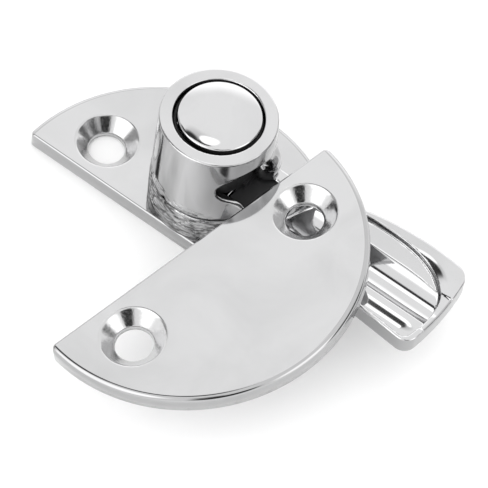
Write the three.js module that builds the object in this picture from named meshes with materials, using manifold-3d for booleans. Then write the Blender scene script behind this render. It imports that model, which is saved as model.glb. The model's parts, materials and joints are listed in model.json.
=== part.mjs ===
// Counter-flap latch: a half-disc base plate with a round push-button hub, an arm that swings
// round the hub, and a loose half-disc keeper plate that lies tilted on the arm.
//
// Millimetres, +Z up. The origin is the hub's axis at the mounting face, +X runs along the
// parked arm and parallel to the base plate's straight edge, and +Y points to its round edge.

import * as THREE from 'three';
import { mergeVertices } from 'three/addons/utils/BufferGeometryUtils.js';
import Module from 'manifold-3d';

const wasm = await Module();
wasm.setup();

// ---------------------------------------------------------------- driving dimensions

const PLATE_RADIUS = 25;
const PLATE_THICKNESS = 2.7;
const PLATE_EDGE_ROUND = 0.8;
const PLATE_CENTRE = { x: -1.45, y: -9 };
const SCREW_SPACING = 30.8;
const SCREW_INSET = 6.3;
const SCREW_HOLE_RADIUS = 2.7;
const SCREW_MOUTH_RADIUS = 4.7;

const HUB_TOP = 21;
const HUB_TOP_RADIUS = 8.5;
const HUB_FOOT_RADIUS = 9;
const PEDESTAL_TOP = 7.7;
const BARREL_BOTTOM = 8;
const BARREL_FLOOR = 9.3;
const BARREL_BORE_RADIUS = 6.55;

const ARM_TOP = 10.95;
const ARM_REACH = 40.35;
const ARM_CORNER = 1.8;
const NEAR_SIDE = { y: -6.2, endY: -7.55 };
const FAR_SIDE = { startY: 5.8, y: 6.2, widenX: 26, widenY: 7.6, peakX: 32.5, peakY: 8.15, endY: 7.75 };
const NECK_HALF_WIDTH = 4.4;
const NECK_END = 9.5;
const SHOULDER_END = 15;
const POCKET_DEPTH = 0.8;
const TROUGH = { centre: 0.4, halfWidth: 3.35, depth: 2.3, start: 11.8, end: 39.4 };

const WINDOW = {
  outer: { y: 4.4, z: 3.1, centreY: -2.2, centreZ: 14.5 },
  inner: { y: 4, z: 2.9, centreY: -1.9, centreZ: 13.8 },
  sill: { low: -4, high: 2.2, top: 14 },
};
const TONGUE = { halfWidth: 3.9, thickness: 0.65, end: 11.5, clearance: 0.1 };

const STUD_RADIUS = 3;
const STUD_TOP = 13.6;
const STUD_HEAD = { radius: 4.6, thickness: 1, clearance: 0.3 };
const STUD_GROOVE = { radius: 2.4, bottom: 11.6, top: 12.5 };
const RUNNING_GAP = 0.1;
const SEAT_TOP = 12.9;
const SEAT_RADIUS = 4.45;
const RETAINING_RING = { radius: 4.1, clearance: 0.15, inset: 0.1, opening: 35 };
const WASHER = { inner: 3.2, halfThickness: 0.15, waves: 3, waveHeight: 0.12, level: 11.28 };
const LOCATING_PIN = { x: 6.4, radius: 0.8, bore: 1, bottom: 0.2, top: 4.6 };

const BUTTON_RADIUS = 6;
const BUTTON_RIM = 20.95;
const BUTTON_CROWN = 0.8;
const BUTTON_TRAVEL = 2;
const SKIRT_RADIUS = 5.65;
const SKIRT_BORE = 5;
const SKIRT_BOTTOM = 15.2;
const SKIRT_ROOF = 17.5;
const HEAD_BOTTOM = 19.1;
const SEAL = { inner: 5.85, outer: 6.45, bottom: 19.6, top: 20.35 };

const LOCK_PIN = { ring: 5.15, radius: 0.55, tipRadius: 0.9, tipBottom: 8.1, tipTop: 9.1 };
const INDEX_PLATE = { radius: 6.3, hub: 4.1, top: 8.6, stopMargin: 15 };
const SWING = 90;

const DETENT = { ring: 7.75, ballRadius: 0.8, boreRadius: 0.95, dimpleRadius: 0.5 };
const DETENT_RING = { inner: 6.75, outer: 8.5, top: 7.95 };

const KEEPER_TOP_CENTRE = { x: 7.3, y: -15, z: 12.8 };
const KEEPER_TURN = -103.2;
const KEEPER_TILT = 7.7;
const KEEPER_TILT_AXIS = -44.4;

const ROUND = 48;
const FINE = 72;
const SMALL = 24;

// ---------------------------------------------------------------- materials

const finish = (color, roughness, metalness) =>
  new THREE.MeshStandardMaterial({ color, roughness, metalness });
const CHROME = finish(0xd9dadb, 0.08, 1);
const STEEL = finish(0xa4a7aa, 0.3, 1);
const BRONZE = finish(0xb08a4a, 0.35, 1);
const NYLON = finish(0x1b1b1c, 0.5, 0);
const RUBBER = finish(0x0f0f10, 0.7, 0);

// ---------------------------------------------------------------- solids

const radians = THREE.MathUtils.degToRad;

/** A closed solid from a three.js geometry: shared vertices merged, empty triangles dropped. */
function solid(geometry) {
  const bare = geometry.clone();
  for (const name of Object.keys(bare.attributes)) {
    if (name !== 'position') bare.deleteAttribute(name);
  }
  const merged = mergeVertices(bare, 1e-4);
  const index = merged.index.array;
  const triangles = [];
  for (let i = 0; i < index.length; i += 3) {
    const [a, b, c] = index.subarray(i, i + 3);
    if (a !== b && b !== c && c !== a) triangles.push(a, b, c);
  }
  if (signedVolume(merged.attributes.position, triangles) < 0) triangles.reverse();
  return new wasm.Manifold(new wasm.Mesh({
    numProp: 3,
    vertProperties: new Float32Array(merged.attributes.position.array),
    triVerts: new Uint32Array(triangles),
  }));
}

function signedVolume(position, triangles) {
  const corner = [new THREE.Vector3(), new THREE.Vector3(), new THREE.Vector3()];
  let total = 0;
  for (let i = 0; i < triangles.length; i += 3) {
    corner.forEach((point, k) => point.fromBufferAttribute(position, triangles[i + k]));
    total += corner[0].dot(corner[1].cross(corner[2])) / 6;
  }
  return total;
}

/** The finished surface of a solid, as a three.js geometry. */
function surface(body) {
  const mesh = body.getMesh();
  const geometry = new THREE.BufferGeometry();
  geometry.setAttribute('position', new THREE.BufferAttribute(mesh.vertProperties, 3));
  geometry.setIndex(new THREE.BufferAttribute(mesh.triVerts, 1));
  geometry.computeVertexNormals();
  return geometry;
}

/** A turned solid about +Z. The profile is a list of [radius, z] that closes on itself. */
function turned(profile, segments = ROUND) {
  const points = profile.map(([radius, z]) => new THREE.Vector2(radius, z));
  if (points[0].x > 0 || points.at(-1).x > 0) points.push(points[0].clone());
  return solid(new THREE.LatheGeometry(points, segments).rotateX(Math.PI / 2));
}

const disc = (radius, low, high, segments = ROUND) =>
  turned([[0, low], [radius, low], [radius, high], [0, high]], segments);

const ring = (inner, outer, low, high, segments = ROUND) =>
  turned([[inner, low], [outer, low], [outer, high], [inner, high]], segments);

/** A flat outline given height between two levels. */
function plank(shape, low, high, curveSegments = 12) {
  const geometry = new THREE.ExtrudeGeometry(shape, {
    depth: high - low,
    bevelEnabled: false,
    curveSegments,
  });
  return solid(geometry.translate(0, 0, low));
}

const block = (x0, x1, y0, y1, z0, z1) =>
  solid(new THREE.BoxGeometry(x1 - x0, y1 - y0, z1 - z0)
    .translate((x0 + x1) / 2, (y0 + y1) / 2, (z0 + z1) / 2));

/** Points round an arc of a circle about the origin, in degrees. */
function arcPoints(radius, from, to, steps) {
  const points = [];
  for (let i = 0; i <= steps; i += 1) {
    const angle = radians(from + ((to - from) * i) / steps);
    points.push(new THREE.Vector2(radius * Math.cos(angle), radius * Math.sin(angle)));
  }
  return points;
}

/** A round-wire coil about +Z whose ends lie flat between two levels. */
function coil(meanRadius, wireRadius, turns, low, high, sides, stepsPerTurn) {
  const points = [];
  const steps = Math.round(turns * stepsPerTurn);
  const rise = high - low - 2 * wireRadius;
  for (let i = 0; i <= steps; i += 1) {
    const angle = (i / stepsPerTurn) * 2 * Math.PI;
    const z = low + wireRadius + (rise * i) / steps;
    points.push(new THREE.Vector3(meanRadius * Math.cos(angle), meanRadius * Math.sin(angle), z));
  }
  const section = new THREE.Shape().absarc(0, 0, wireRadius, 0, 2 * Math.PI);
  return solid(new THREE.ExtrudeGeometry(section, {
    steps,
    curveSegments: sides / 2,
    extrudePath: new THREE.CatmullRomCurve3(points),
    bevelEnabled: false,
  }));
}

function node(name, body, material) {
  const mesh = new THREE.Mesh(surface(body), material);
  mesh.name = name;
  return mesh;
}

// ---------------------------------------------------------------- the two plates

/** A half disc in its own frame: straight edge along X through the origin, back face at z = 0. */
function halfDisc() {
  const profile = [[0, 0], [PLATE_RADIUS, 0]];
  const roundCentre = PLATE_RADIUS - PLATE_EDGE_ROUND;
  for (const angle of [0, 30, 60, 90]) {
    profile.push([
      roundCentre + PLATE_EDGE_ROUND * Math.cos(radians(angle)),
      PLATE_THICKNESS - PLATE_EDGE_ROUND + PLATE_EDGE_ROUND * Math.sin(radians(angle)),
    ]);
  }
  profile.push([0, PLATE_THICKNESS]);
  const reach = 2 * PLATE_RADIUS;
  const otherHalf = block(-reach, reach, -reach, 0, -1, PLATE_THICKNESS + 1);
  let plate = turned(profile, FINE).subtract(otherHalf);
  for (const side of [-1, 1]) {
    plate = plate.subtract(screwHole().translate([side * SCREW_SPACING / 2, SCREW_INSET, 0]));
  }
  return plate;
}

/** A through hole with a 90-degree countersink opening at the top face. */
function screwHole() {
  const sinkBottom = PLATE_THICKNESS - (SCREW_MOUTH_RADIUS - SCREW_HOLE_RADIUS);
  return turned([
    [0, -1],
    [SCREW_HOLE_RADIUS, -1],
    [SCREW_HOLE_RADIUS, sinkBottom],
    [SCREW_MOUTH_RADIUS, PLATE_THICKNESS],
    [SCREW_MOUTH_RADIUS, PLATE_THICKNESS + 1],
    [0, PLATE_THICKNESS + 1],
  ], ROUND);
}

function basePlate() {
  const studHole = disc(STUD_RADIUS + STUD_HEAD.clearance, -1, PLATE_THICKNESS + 1, ROUND);
  const headDepth = STUD_HEAD.thickness + STUD_HEAD.clearance;
  const headRecess = disc(STUD_HEAD.radius + STUD_HEAD.clearance, -1, headDepth, ROUND);
  const placed = halfDisc().translate([PLATE_CENTRE.x, PLATE_CENTRE.y, 0]);
  return placed.subtract(studHole).subtract(headRecess);
}

// ---------------------------------------------------------------- fixed pieces in the hub

/** The collar on the plate that carries the barrel, with a groove for the lock pin's tip. */
function pedestal() {
  const bore = STUD_RADIUS + STUD_HEAD.clearance;
  const seamRadius = HUB_FOOT_RADIUS - 0.05;
  const grooveFloor = LOCK_PIN.tipBottom - BUTTON_TRAVEL - 0.7;
  const grooveInner = LOCK_PIN.ring - LOCK_PIN.tipRadius - 0.2;
  const grooveOuter = LOCK_PIN.ring + LOCK_PIN.tipRadius + 0.35;
  return turned([
    [bore, PLATE_THICKNESS],
    [HUB_FOOT_RADIUS, PLATE_THICKNESS],
    [seamRadius, PEDESTAL_TOP],
    [grooveOuter, PEDESTAL_TOP],
    [grooveOuter, grooveFloor],
    [grooveInner, grooveFloor],
    [grooveInner, PEDESTAL_TOP],
    [bore, PEDESTAL_TOP],
  ]);
}

function pivotStud() {
  const chamfer = 0.4;
  return turned([
    [0, 0],
    [STUD_HEAD.radius, 0],
    [STUD_HEAD.radius, STUD_HEAD.thickness],
    [STUD_RADIUS, STUD_HEAD.thickness],
    [STUD_RADIUS, STUD_GROOVE.bottom],
    [STUD_GROOVE.radius, STUD_GROOVE.bottom],
    [STUD_GROOVE.radius, STUD_GROOVE.top],
    [STUD_RADIUS, STUD_GROOVE.top],
    [STUD_RADIUS, STUD_TOP - chamfer],
    [STUD_RADIUS - chamfer, STUD_TOP],
    [0, STUD_TOP],
  ]);
}

/** A fixed disc whose open sector gives the lock pin the arm's swing and stops it at both ends. */
function indexPlate() {
  const outer = arcPoints(INDEX_PLATE.radius, 180 + INDEX_PLATE.stopMargin,
    540 - SWING - INDEX_PLATE.stopMargin, 30);
  const inner = arcPoints(INDEX_PLATE.hub, 540 - SWING - INDEX_PLATE.stopMargin,
    180 + 360 + INDEX_PLATE.stopMargin, 12);
  const outline = new THREE.Shape([...outer, ...inner]);
  const bore = disc(STUD_RADIUS + STUD_HEAD.clearance, PEDESTAL_TOP - 1, INDEX_PLATE.top + 1);
  return plank(outline, PEDESTAL_TOP, INDEX_PLATE.top).subtract(bore);
}

/** The thin ring in the seam, with a dimple hole at each end of the swing. */
function detentRing() {
  let body = ring(DETENT_RING.inner, DETENT_RING.outer, PEDESTAL_TOP, DETENT_RING.top);
  for (const angle of [0, -SWING]) {
    const [dimple] = arcPoints(DETENT.ring, angle, angle, 1);
    body = body.subtract(disc(DETENT.dimpleRadius, PEDESTAL_TOP - 1, BARREL_BOTTOM + 1, SMALL)
      .translate([dimple.x, dimple.y, 0]));
  }
  return body;
}

/** The open clip in the stud's groove that keeps the barrel on. */
function retainingRing() {
  const { radius, clearance, inset, opening } = RETAINING_RING;
  const outer = arcPoints(radius, opening, 360 - opening, 28);
  const inner = arcPoints(STUD_GROOVE.radius + clearance, 360 - opening, opening, 28);
  const outline = new THREE.Shape([...outer, ...inner]);
  return plank(outline, STUD_GROOVE.bottom + inset, STUD_GROOVE.top - inset);
}

/** One of the two dowels that keep the pedestal from turning on the plate. */
const locatingPin = (side) =>
  disc(LOCATING_PIN.radius, LOCATING_PIN.bottom, LOCATING_PIN.top, SMALL)
    .translate([side * LOCATING_PIN.x, 0, 0]);

function drilledForPins(body) {
  return [-1, 1].reduce((rest, side) => rest.subtract(
    disc(LOCATING_PIN.bore, -1, LOCATING_PIN.top + 0.2, SMALL)
      .translate([side * LOCATING_PIN.x, 0, 0])), body);
}

// ---------------------------------------------------------------- the arm

/** The arm seen from above: narrow neck, shoulders, flared sides and a round-ended paddle. */
function armOutline() {
  const endCentre = ARM_REACH - ARM_CORNER;
  const nearAngle = Math.asin((NEAR_SIDE.endY + ARM_CORNER) / endCentre);
  const farAngle = Math.asin((FAR_SIDE.endY - ARM_CORNER) / endCentre);
  const corner = (angle) => [endCentre * Math.cos(angle), endCentre * Math.sin(angle)];
  const outline = new THREE.Shape();
  outline.moveTo(0, -NECK_HALF_WIDTH);
  outline.lineTo(NECK_END, -NECK_HALF_WIDTH);
  outline.bezierCurveTo(NECK_END + 3, -NECK_HALF_WIDTH, SHOULDER_END - 3, NEAR_SIDE.y,
    SHOULDER_END, NEAR_SIDE.y);
  outline.lineTo(corner(nearAngle)[0], NEAR_SIDE.endY);
  outline.absarc(...corner(nearAngle), ARM_CORNER, -Math.PI / 2, nearAngle, false);
  arcPoints(ARM_REACH, THREE.MathUtils.radToDeg(nearAngle), THREE.MathUtils.radToDeg(farAngle), 10)
    .forEach((point) => outline.lineTo(point.x, point.y));
  outline.absarc(...corner(farAngle), ARM_CORNER, farAngle, Math.PI / 2, false);
  outline.quadraticCurveTo(FAR_SIDE.peakX, 2 * FAR_SIDE.peakY - FAR_SIDE.endY,
    FAR_SIDE.widenX, FAR_SIDE.widenY);
  outline.lineTo(SHOULDER_END, FAR_SIDE.y);
  outline.bezierCurveTo(SHOULDER_END - 3, FAR_SIDE.startY, NECK_END + 3, NECK_HALF_WIDTH,
    NECK_END, NECK_HALF_WIDTH);
  outline.lineTo(0, NECK_HALF_WIDTH);
  return outline;
}

/** The finger pocket: straight along the near side, one long curve round the far side. */
function pocketOutline() {
  const near = -5.3;
  const nearEnd = -6.75;
  const outline = new THREE.Shape();
  outline.moveTo(13.5, 0);
  outline.bezierCurveTo(13.5, near + 1.5, 14.5, near, 18, near);
  outline.lineTo(37, nearEnd);
  outline.bezierCurveTo(39, nearEnd, 39.6, nearEnd + 1.5, 39.7, -2.5);
  outline.bezierCurveTo(39.6, 1.6, 37, 4.2, 33.5, 5.5);
  outline.bezierCurveTo(29, 6.7, 22, 6.6, 18, 5.2);
  outline.bezierCurveTo(15, 4.2, 13.5, 2.5, 13.5, 0);
  return outline;
}

/** The long round-bottomed trough down the middle of the pocket. */
function troughCut() {
  const sag = TROUGH.depth - POCKET_DEPTH;
  const radius = (TROUGH.halfWidth ** 2 + sag ** 2) / (2 * sag);
  const length = TROUGH.end - TROUGH.start;
  const bar = new THREE.CylinderGeometry(radius, radius, length, FINE)
    .rotateZ(Math.PI / 2)
    .translate(TROUGH.start + length / 2, TROUGH.centre, ARM_TOP - TROUGH.depth + radius);
  const span = block(TROUGH.start, TROUGH.end, TROUGH.centre - TROUGH.halfWidth,
    TROUGH.centre + TROUGH.halfWidth, BARREL_BOTTOM, ARM_TOP + 1);
  return solid(bar).intersect(span);
}

function barrel() {
  const seamRadius = HUB_FOOT_RADIUS - 0.1;
  const lip = 0.25;
  const bushBore = STUD_RADIUS + 0.8;
  return turned([
    [bushBore, BARREL_FLOOR],
    [BARREL_BORE_RADIUS, BARREL_FLOOR],
    [BARREL_BORE_RADIUS, BARREL_BOTTOM],
    [seamRadius, BARREL_BOTTOM],
    [HUB_TOP_RADIUS, HUB_TOP - lip],
    [HUB_TOP_RADIUS - lip, HUB_TOP],
    [BARREL_BORE_RADIUS, HUB_TOP],
    [BARREL_BORE_RADIUS, ARM_TOP],
    [bushBore, ARM_TOP],
  ], FINE);
}

/** The opening in the near half of the barrel's side: an oval over the slot for the sleeve's tongue. */
function windowCut() {
  const { inner, outer, sill } = WINDOW;
  const wall = HUB_TOP_RADIUS - BARREL_BORE_RADIUS;
  const section = ({ y, z, centreY, centreZ }, x) => {
    const points = [];
    for (let i = 0; i < ROUND; i += 1) {
      const angle = (i / ROUND) * 2 * Math.PI;
      points.push([x, centreY + y * Math.cos(angle), centreZ + z * Math.sin(angle)]);
    }
    return points;
  };
  const funnel = wasm.Manifold.hull([
    ...section(inner, BARREL_BORE_RADIUS * 0.6),
    ...section(outer, BARREL_BORE_RADIUS + 1.2 * wall),
  ]);
  return funnel
    .add(block(BARREL_BORE_RADIUS * 0.6, HUB_TOP, sill.low, sill.high, ARM_TOP, sill.top))
    .intersect(block(0, ARM_REACH, -HUB_TOP, HUB_TOP, ARM_TOP, HUB_TOP));
}

/** Barrel, neck and paddle in one casting, with its bores, window, groove and pocket. */
function armCasting() {
  const outline = plank(armOutline(), BARREL_BOTTOM, ARM_TOP);
  const floorLevel = ARM_TOP - POCKET_DEPTH;
  const pocket = plank(pocketOutline(), floorLevel, ARM_TOP + 1);
  const hubHole = disc(HUB_TOP_RADIUS - 1, 0, HUB_TOP);
  const groove = block(BARREL_BORE_RADIUS - 1, TONGUE.end + TONGUE.clearance,
    -TONGUE.halfWidth - TONGUE.clearance, TONGUE.halfWidth + TONGUE.clearance,
    ARM_TOP - TONGUE.thickness - TONGUE.clearance, ARM_TOP + 0.3);
  const shank = disc(LOCK_PIN.radius + 0.2, BARREL_FLOOR - 1, ARM_TOP + 1, SMALL)
    .translate([-LOCK_PIN.ring, 0, 0]);
  const detentBore = disc(DETENT.boreRadius, BARREL_BOTTOM - 1, ARM_TOP, SMALL)
    .translate([DETENT.ring, 0, 0]);
  return barrel()
    .subtract(windowCut())
    .add(outline.subtract(hubHole))
    .subtract(pocket)
    .subtract(troughCut())
    .subtract(groove)
    .subtract(shank)
    .subtract(detentBore);
}

const pivotBush = () =>
  ring(STUD_RADIUS + RUNNING_GAP, STUD_RADIUS + 0.7, INDEX_PLATE.top + 0.1, ARM_TOP);

/** A thin ring waved three times round, which takes up the end play. */
function waveWasher() {
  const { inner, halfThickness, waves, waveHeight, level } = WASHER;
  const profile = [
    [inner, -halfThickness],
    [SEAT_RADIUS, -halfThickness],
    [SEAT_RADIUS, halfThickness],
    [inner, halfThickness],
    [inner, -halfThickness],
  ].map(([radius, z]) => new THREE.Vector2(radius, z));
  const flat = new THREE.LatheGeometry(profile, ROUND).rotateX(Math.PI / 2);
  const position = flat.attributes.position;
  for (let i = 0; i < position.count; i += 1) {
    const angle = Math.atan2(position.getY(i), position.getX(i));
    position.setZ(i, position.getZ(i) + waveHeight * Math.sin(waves * angle));
  }
  return solid(flat.translate(0, 0, level));
}

const springSeat = () =>
  ring(STUD_RADIUS + RUNNING_GAP, SEAT_RADIUS, STUD_GROOVE.top, SEAT_TOP);

/** The nylon liner that guides the button, keyed by a tongue lying along the neck. */
function guideSleeve() {
  const outer = BARREL_BORE_RADIUS - 0.15;
  const inner = SKIRT_RADIUS + 0.15;
  const top = HEAD_BOTTOM - BUTTON_TRAVEL - 0.3;
  const tongueBottom = ARM_TOP - TONGUE.thickness;
  const tongue = block(inner + 0.1, TONGUE.end, -TONGUE.halfWidth, TONGUE.halfWidth,
    tongueBottom, ARM_TOP);
  const root = block(inner + 0.1, outer + 0.2, -1.5, 1.5, tongueBottom, ARM_TOP + 1);
  return ring(inner, outer, ARM_TOP + 0.3, top).add(tongue).add(root)
    .subtract(disc(inner, 0, HUB_TOP));
}

const detentBall = () =>
  solid(new THREE.SphereGeometry(DETENT.ballRadius, 16, 12)
    .translate(DETENT.ring, 0, DETENT_RING.top + 0.05 + DETENT.ballRadius));

function detentSpring() {
  const low = DETENT_RING.top + 0.1 + 2 * DETENT.ballRadius;
  const high = ARM_TOP - TONGUE.thickness - 0.05;
  return coil(0.5, 0.1, 2, low, high, 6, 10).translate([DETENT.ring, 0, 0]);
}

// ---------------------------------------------------------------- the button

/** A domed cap with a hollow skirt and a groove for its seal. */
function pushButton() {
  const crownSteps = 6;
  const profile = [
    [0, SKIRT_ROOF],
    [SKIRT_BORE, SKIRT_ROOF],
    [SKIRT_BORE, SKIRT_BOTTOM],
    [SKIRT_RADIUS, SKIRT_BOTTOM],
    [SKIRT_RADIUS, HEAD_BOTTOM],
    [BUTTON_RADIUS, HEAD_BOTTOM],
    [BUTTON_RADIUS, SEAL.bottom - 0.05],
    [SEAL.inner - 0.05, SEAL.bottom - 0.05],
    [SEAL.inner - 0.05, SEAL.top + 0.05],
    [BUTTON_RADIUS, SEAL.top + 0.05],
  ];
  for (let i = 0; i <= crownSteps; i += 1) {
    const radius = BUTTON_RADIUS * (1 - i / crownSteps);
    const rise = BUTTON_CROWN * (1 - (radius / BUTTON_RADIUS) ** 2);
    profile.push([radius, BUTTON_RIM + rise]);
  }
  return turned(profile);
}

const buttonSeal = () => ring(SEAL.inner, SEAL.outer, SEAL.bottom, SEAL.top);

const buttonSpring = () =>
  coil(4.05, 0.3, 4, SEAT_TOP + 0.05, SKIRT_ROOF - 0.05, 8, 16);

/** The pin under the button; its wide tip also keeps the button from coming out of the hub. */
function lockPin() {
  return turned([
    [0, LOCK_PIN.tipBottom],
    [LOCK_PIN.tipRadius, LOCK_PIN.tipBottom],
    [LOCK_PIN.tipRadius, LOCK_PIN.tipTop],
    [LOCK_PIN.radius, LOCK_PIN.tipTop],
    [LOCK_PIN.radius, SKIRT_BOTTOM],
    [0, SKIRT_BOTTOM],
  ], SMALL).translate([-LOCK_PIN.ring, 0, 0]);
}

// ---------------------------------------------------------------- assembly

function baseGroup() {
  const group = new THREE.Group();
  group.add(
    node('base_plate', drilledForPins(basePlate()), CHROME),
    node('pedestal', drilledForPins(pedestal()), CHROME),
    node('pivot_stud', pivotStud(), STEEL),
    node('index_plate', indexPlate(), STEEL),
    node('detent_ring', detentRing(), STEEL),
    node('retaining_ring', retainingRing(), STEEL),
    node('locating_pin_left', locatingPin(-1), STEEL),
    node('locating_pin_right', locatingPin(1), STEEL),
  );
  return group;
}

function armGroup() {
  const group = new THREE.Group();
  group.add(
    node('arm_casting', armCasting(), CHROME),
    node('pivot_bush', pivotBush(), BRONZE),
    node('wave_washer', waveWasher(), STEEL),
    node('spring_seat', springSeat(), STEEL),
    node('guide_sleeve', guideSleeve(), NYLON),
    node('detent_ball', detentBall(), STEEL),
    node('detent_spring', detentSpring(), STEEL),
  );
  return group;
}

function buttonGroup() {
  const group = new THREE.Group();
  group.add(
    node('push_button', pushButton(), CHROME),
    node('button_seal', buttonSeal(), RUBBER),
    node('lock_pin', lockPin(), STEEL),
    node('button_spring', buttonSpring(), STEEL),
  );
  return group;
}

/** The keeper plate, turned and tilted as it lies across the arm. */
function keeperGroup() {
  const tiltAxis = new THREE.Vector3(
    Math.cos(radians(KEEPER_TILT_AXIS)), Math.sin(radians(KEEPER_TILT_AXIS)), 0);
  const turn = new THREE.Quaternion()
    .setFromAxisAngle(new THREE.Vector3(0, 0, 1), radians(KEEPER_TURN));
  const tilt = new THREE.Quaternion().setFromAxisAngle(tiltAxis, radians(KEEPER_TILT));
  const plate = node('keeper_plate', halfDisc().translate([0, 0, -PLATE_THICKNESS]), CHROME);
  const group = new THREE.Group();
  group.position.set(KEEPER_TOP_CENTRE.x, KEEPER_TOP_CENTRE.y, KEEPER_TOP_CENTRE.z);
  group.quaternion.multiplyQuaternions(tilt, turn);
  group.add(plate);
  return group;
}

const latch = new THREE.Group();
latch.add(baseGroup(), armGroup(), buttonGroup(), keeperGroup());

export default latch;
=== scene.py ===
"""The looks of a chrome counter-flap latch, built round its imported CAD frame.

Lengths are written in millimetres and turned to metres by MM. The frame's origin is the hub's
axis at the mounting face, +X runs along the parked arm and +Z points up.
"""
import json
import math

import bmesh
import bpy
import numpy as np
from mathutils import Matrix, Quaternion, Vector


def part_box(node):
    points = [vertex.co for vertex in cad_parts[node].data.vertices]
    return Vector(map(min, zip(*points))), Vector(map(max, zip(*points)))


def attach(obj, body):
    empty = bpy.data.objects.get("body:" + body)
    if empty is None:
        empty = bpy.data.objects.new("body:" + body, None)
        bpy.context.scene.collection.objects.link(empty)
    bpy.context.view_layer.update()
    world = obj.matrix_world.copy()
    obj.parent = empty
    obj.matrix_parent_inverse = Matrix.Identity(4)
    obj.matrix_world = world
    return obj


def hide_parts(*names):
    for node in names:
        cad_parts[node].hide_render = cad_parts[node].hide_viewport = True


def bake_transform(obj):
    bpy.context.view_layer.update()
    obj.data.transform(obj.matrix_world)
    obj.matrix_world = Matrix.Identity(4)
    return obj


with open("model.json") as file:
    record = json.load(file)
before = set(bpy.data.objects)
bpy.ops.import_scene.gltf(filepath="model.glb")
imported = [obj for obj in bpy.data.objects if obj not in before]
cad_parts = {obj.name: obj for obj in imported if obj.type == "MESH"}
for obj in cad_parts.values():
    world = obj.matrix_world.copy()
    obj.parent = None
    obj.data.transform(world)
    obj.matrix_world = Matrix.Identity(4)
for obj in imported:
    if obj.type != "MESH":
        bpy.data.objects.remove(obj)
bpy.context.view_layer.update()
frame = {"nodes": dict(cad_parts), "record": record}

MM = 0.001


def node_box(name):
    """A CAD node's lowest and highest corners, in millimetres."""
    low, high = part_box(name)
    return low / MM, high / MM


# ---------------------------------------------------------------- sizes, in millimetres

plate_low, plate_high = node_box("base_plate")
arm_low, arm_high = node_box("arm_casting")
foot_high = node_box("pedestal")[1]
button_low, button_high = node_box("push_button")
seal_low, seal_high = node_box("button_seal")
spring_low, spring_high = node_box("button_spring")

PLATE_RADIUS = (plate_high.x - plate_low.x) / 2
PLATE_CENTRE = Vector(((plate_low.x + plate_high.x) / 2, plate_low.y, 0))
PLATE_THICKNESS = plate_high.z
PLATE_CORNER = 0.9
SCREW_SPACING = 30.8
SCREW_INSET = 6.3
SCREW_HOLE_RADIUS = 2.7
SCREW_MOUTH_RADIUS = 4.7

KEEPER_TOP_CENTRE = Vector((7.3, -15, 12.8))
KEEPER_TURN = -103.2
KEEPER_TILT = 7.7
KEEPER_TILT_AXIS = -44.4

HUB_TOP = arm_high.z
HUB_TOP_RADIUS = 8.5
HUB_FOOT_RADIUS = foot_high.x
STUD_BORE = 3.3
STUD_HEAD_RADIUS = 4.9
STUD_HEAD_DEPTH = 1.3
BARREL_BOTTOM = arm_low.z
BARREL_FLOOR = 9.3
BARREL_BORE = 6.55
BUSH_BORE = 3.8
BUTTON_RADIUS = button_high.x
BUTTON_PLAY = (0.14, 0.05, 0)
BUTTON_TRAVEL = 2

ARM_TOP = 10.95
ARM_REACH = arm_high.x
NECK_HALF_WIDTH = 4.4
NEAR_EDGE = 6.95
NEAR_EDGE_X = 30.4
NEAR_SLOPE = 0.085
POCKET_DEPTH = 0.8
TONGUE_SLOT_HALF_WIDTH = 4


# ---------------------------------------------------------------- mesh helpers

def add_mesh(name, vertices, faces, material, body, replaces, flat_faces=()):
    """Makes a smooth-shaded piece from points in millimetres, and stands it in for CAD nodes.

    It rides on body, or on nothing yet if body is None. flat_faces are the numbers of its flat faces.
    """
    mesh = bpy.data.meshes.new(name)
    mesh.from_pydata([tuple(v) for v in np.asarray(vertices, float) * MM], [], faces)
    mesh.update()
    mesh.shade_smooth()
    for index in flat_faces:
        mesh.polygons[index].use_smooth = False
    piece = bpy.data.objects.new(name, mesh)
    bpy.context.scene.collection.objects.link(piece)
    mesh.materials.append(material)
    if body:
        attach(piece, body)
    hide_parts(*replaces)
    return piece


def ring_faces(loops, count):
    """Quads between loops of count points that follow each other in the vertex list."""
    faces = []
    for row in range(loops - 1):
        for i in range(count):
            j = (i + 1) % count
            start = row * count
            faces.append((start + i, start + j, start + count + j, start + count + i))
    return faces


def round_profile(centre_r, centre_z, radius, start, end, steps=6):
    """Profile points round part of a circle, in degrees."""
    points = []
    for i in range(steps + 1):
        angle = math.radians(start + (end - start) * i / steps)
        points.append((centre_r + radius * math.cos(angle), centre_z + radius * math.sin(angle)))
    return points


def turned(name, profile, material, body, replaces, closed=False, segments=144):
    """A turned piece about the hub's axis. An open profile starts and ends on the axis."""
    rings = [p for p in profile if p[0] > 1e-6]
    vertices = []
    for radius, z in rings:
        for i in range(segments):
            angle = 2 * math.pi * i / segments
            vertices.append((radius * math.cos(angle), radius * math.sin(angle), z))
    faces = ring_faces(len(rings), segments)
    last = (len(rings) - 1) * segments
    if closed:
        for i in range(segments):
            j = (i + 1) % segments
            faces.append((last + i, last + j, j, i))
    else:
        for point, start, turn in ((profile[0], 0, -1), (profile[-1], last, 1)):
            centre = len(vertices)
            vertices.append((0, 0, point[1]))
            for i in range(segments):
                j = (i + 1) % segments
                faces.append((centre, start + i, start + j)[::turn])
    return add_mesh(name, vertices, faces, material, body, replaces)


# ---------------------------------------------------------------- the two plates

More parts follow.
